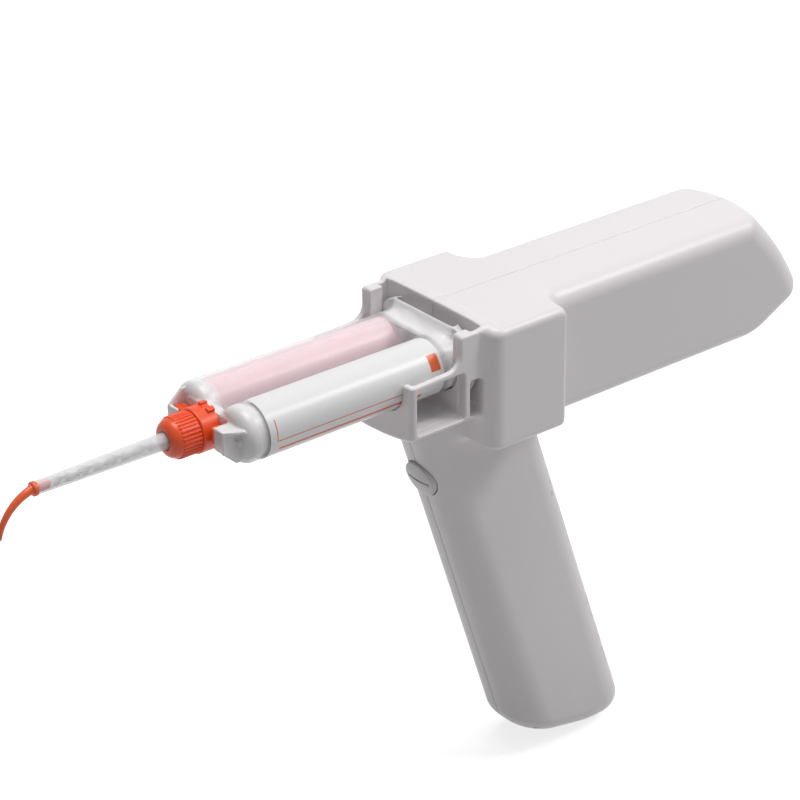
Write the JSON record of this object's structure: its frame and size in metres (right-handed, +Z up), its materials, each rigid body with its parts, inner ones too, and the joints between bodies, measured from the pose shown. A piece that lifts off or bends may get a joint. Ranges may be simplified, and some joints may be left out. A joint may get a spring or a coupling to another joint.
{
  "type": "dental impression mixer",
  "caption": "Cordless dispensing gun that pushes a twin-barrel paste cartridge through a static mixing tip with a motor-driven lead screw.",
  "frame": {"origin": "on the drive axis midway between the two push rods, in the plane of the head's front face where the cartridge flange seats", "axes": "+X along the drive axis towards the rear of the motor barrel, so the mixing tip points to -X; +Y to the gun's right side; +Z up, away from the grip"},
  "size_m": [0.3665, 0.0702, 0.2139],
  "materials": {
    "shell": "fine satin moulded plastic",
    "screw_steel": "zinc-plated screws and nuts",
    "button": "satin moulded plastic, a shade darker than the shell",
    "ground_steel": "ground and polished rod",
    "guide_plastic": "glass-filled nylon",
    "yoke_metal": "machined and anodised",
    "disc_metal": "turned face",
    "nut_brass": "turned brass",
    "gear_metal": "turned steel can",
    "circuit": "green circuit board with solder mask",
    "component": "black moulded components",
    "cell_wrap": "shrink-wrapped cells",
    "contact": "nickel-plated strip",
    "holder": "black moulded tray",
    "socket_metal": "plated steel shell",
    "cartridge_plastic": "translucent moulded polypropylene",
    "label": "printed film label without words",
    "piston": "moulded polyethylene",
    "collar_orange": "moulded orange plastic",
    "tube": "translucent moulded plastic",
    "mixer": "moulded acetal helix",
    "spout_orange": "moulded orange plastic"
  },
  "bodies": {
    "gun": {"housing_left": "shell", "housing_right": "shell", "housing_screws": "screw_steel", "rocker_pin": "ground_steel", "switch_board": "circuit", "forward_switch": "component", "reverse_switch": "component", "rod_guide": "guide_plastic", "thrust_bearing": "gear_metal", "motor_bracket": "yoke_metal", "gearbox": "gear_metal", "motor": "gear_metal", "motor_screws": "screw_steel", "control_board": "circuit", "board_parts": "component", "board_screws": "screw_steel", "home_switch": "component", "end_switch": "component", "battery_front": "cell_wrap", "battery_rear": "cell_wrap", "battery_contacts": "contact", "battery_holder": "holder", "charging_socket": "socket_metal", "charging_board": "circuit", "cartridge_shell": "cartridge_plastic", "cartridge_label": "label", "mixing_tube": "tube", "mixer_element": "mixer"},
    "plunger": {"drive_yoke": "yoke_metal", "drive_nut": "nut_brass", "push_rod_left": "ground_steel", "push_rod_right": "ground_steel", "pusher_disc_left": "disc_metal", "pusher_disc_right": "disc_metal", "yoke_nuts": "screw_steel"},
    "screw": {"lead_screw": "ground_steel", "shaft_coupling": "yoke_metal", "output_shaft": "ground_steel"},
    "rocker": {"rocker_button": "button"},
    "pistons": {"piston_left": "piston", "piston_right": "piston"},
    "collar": {"bayonet_collar": "collar_orange"},
    "spout": {"intraoral_tip": "spout_orange"}
  },
  "joints": [
    {"name": "plunger_drive", "type": "slide", "parent": "gun", "child": "plunger", "axis": [-1, 0, 0], "range_m": [0, 0.088]},
    {"name": "screw_turn", "type": "hinge", "parent": "gun", "child": "screw", "pos_m": [0.05, 0, 0], "axis": [1, 0, 0], "range_deg": [0, 3961]},
    {"name": "piston_push", "type": "slide", "parent": "gun", "child": "pistons", "axis": [-1, 0, 0], "range_m": [0, 0.088]},
    {"name": "rocker_tilt", "type": "hinge", "parent": "gun", "child": "rocker", "pos_m": [-0.00342, 0, -0.0545], "axis": [0, 1, 0], "range_deg": [-4, 4], "stiffness_Nm_per_rad": 0.3},
    {"name": "collar_twist", "type": "hinge", "parent": "gun", "child": "collar", "pos_m": [-0.108, 0, 0], "axis": [1, 0, 0], "range_deg": [0, 90]},
    {"name": "spout_turn", "type": "hinge", "parent": "gun", "child": "spout", "pos_m": [-0.17, 0, 0], "axis": [1, 0, 0], "continuous": true}
  ],
  "couplings": [
    {"joint": "screw_turn", "follows": "plunger_drive", "rad_per_m": 785.4},
    {"joint": "piston_push", "follows": "plunger_drive", "ratio": 1}
  ]
}
